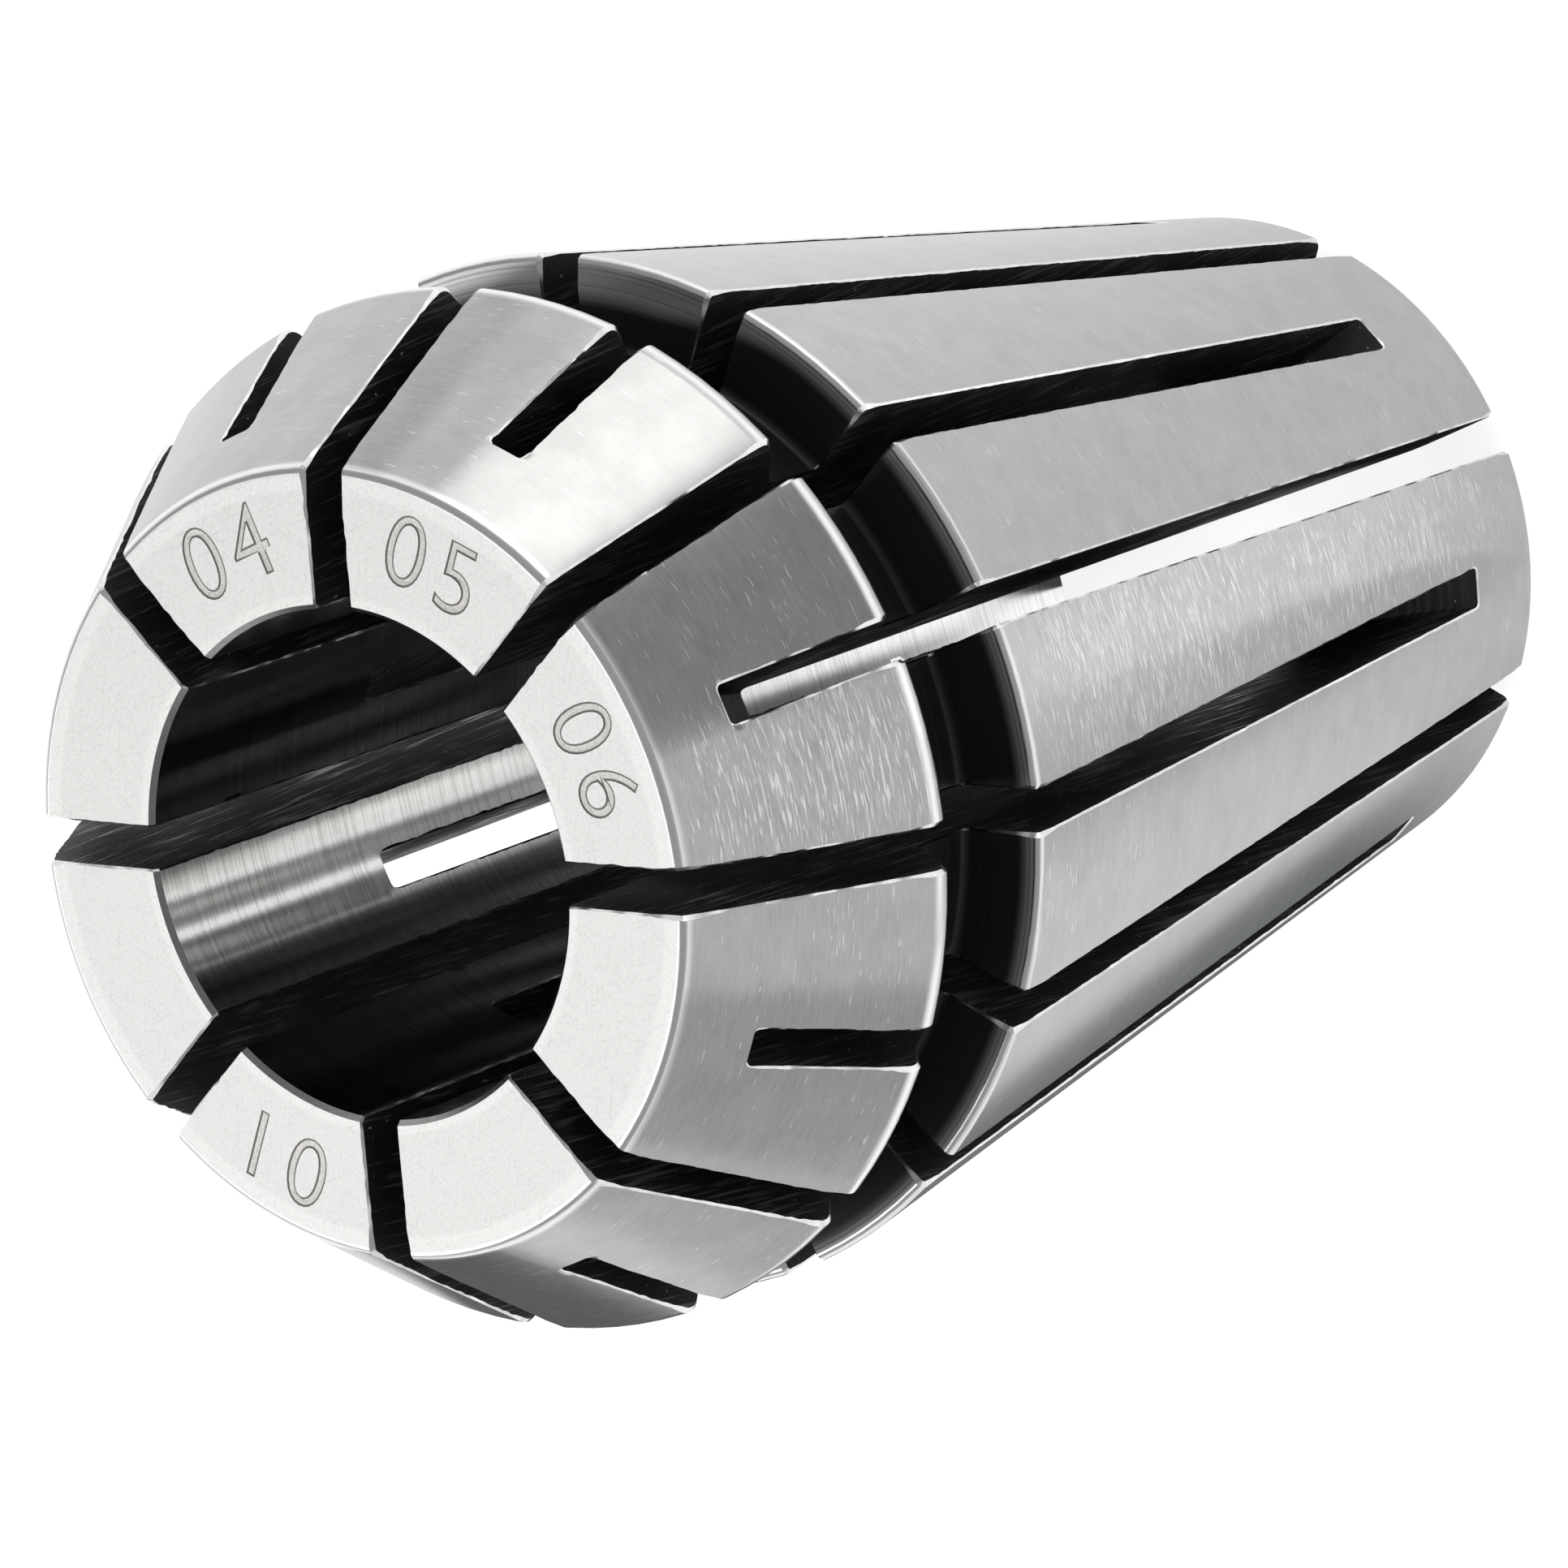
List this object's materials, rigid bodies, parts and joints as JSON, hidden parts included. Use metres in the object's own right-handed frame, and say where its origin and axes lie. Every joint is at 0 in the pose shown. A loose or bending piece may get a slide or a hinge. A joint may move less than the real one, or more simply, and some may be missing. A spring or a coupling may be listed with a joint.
{
  "type": "er collet",
  "caption": "Steel spring collet: slit sleeve with a shallow seat taper, grooved head and steep front cone, whose straight bore closes on a round tool shank.",
  "frame": {"origin": "centre of the rear face, on the surface that the collet stands on", "axes": "+Z along the bore axis, from the rear face towards the front face that the shank enters by; +X through the middle of a slit cut from the front"},
  "size_m": [0.021, 0.021, 0.0315],
  "materials": {
    "ground_steel": "fine ground, bright and uncoated"
  },
  "bodies": {
    "root": {"collet": "ground_steel"}
  },
  "joints": []
}
